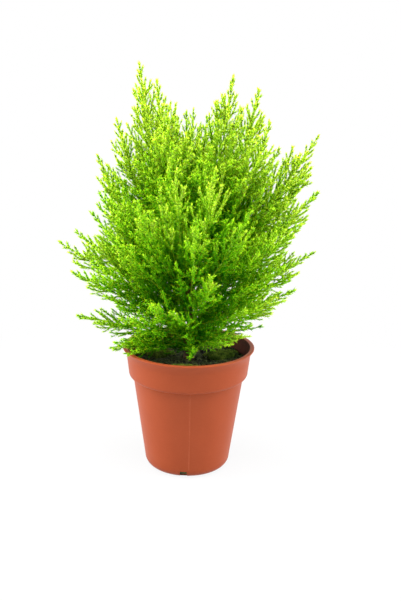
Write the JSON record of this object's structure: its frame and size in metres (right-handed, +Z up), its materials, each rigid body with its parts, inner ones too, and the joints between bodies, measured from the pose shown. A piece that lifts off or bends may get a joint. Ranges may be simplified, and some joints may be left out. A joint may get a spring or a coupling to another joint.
{
  "type": "potted lemon cypress",
  "caption": "Bushy lemon-yellow-green conifer with feathery upright shoots, growing in a tapered terracotta-coloured nursery pot with a collar.",
  "frame": {"origin": "middle of the pot's flat underside", "axes": "+Z up along the pot's axis, -Y towards the side seen from the front, +X to its right"},
  "size_m": [0.2266, 0.1834, 0.361],
  "materials": {
    "pot": "satin moulded terracotta-coloured plastic",
    "potting_mix": "damp dark peat with crumbs and fibres",
    "moss": "soft low green moss",
    "bark": "thin flaking brown bark",
    "foliage": "feathery awl-shaped leaves, lemon green at the tips and deep green inside"
  },
  "bodies": {
    "root": {"leader_01": "foliage", "leader_02": "foliage", "leader_03": "foliage", "leader_04": "foliage", "leader_05": "foliage", "leader_06": "foliage", "leader_07": "foliage", "leader_08": "foliage", "leader_09": "foliage", "leader_10": "foliage", "leader_11": "foliage", "low_shoot_01": "foliage", "low_shoot_02": "foliage", "low_shoot_03": "foliage", "low_shoot_04": "foliage", "low_shoot_05": "foliage", "low_shoot_06": "foliage", "low_shoot_07": "foliage", "low_shoot_08": "foliage", "low_shoot_09": "foliage", "low_shoot_10": "foliage", "low_shoot_11": "foliage", "low_shoot_12": "foliage", "low_shoot_13": "foliage", "low_shoot_14": "foliage", "low_shoot_15": "foliage", "low_shoot_16": "foliage", "low_shoot_17": "foliage", "low_shoot_18": "foliage", "low_shoot_19": "foliage", "low_shoot_20": "foliage", "moss_front": "moss", "moss_left": "moss", "moss_right": "moss", "pot": "pot", "root_ball": "potting_mix", "side_shoot_01": "foliage", "side_shoot_02": "foliage", "side_shoot_03": "foliage", "side_shoot_04": "foliage", "side_shoot_05": "foliage", "side_shoot_06": "foliage", "side_shoot_07": "foliage", "side_shoot_08": "foliage", "side_shoot_09": "foliage", "side_shoot_10": "foliage", "side_shoot_11": "foliage", "side_shoot_12": "foliage", "side_shoot_13": "foliage", "side_shoot_14": "foliage", "side_shoot_15": "foliage", "side_shoot_16": "foliage", "side_shoot_17": "foliage", "side_shoot_18": "foliage", "side_shoot_19": "foliage", "side_shoot_20": "foliage", "side_shoot_21": "foliage", "trunk": "bark"}
  },
  "joints": []
}
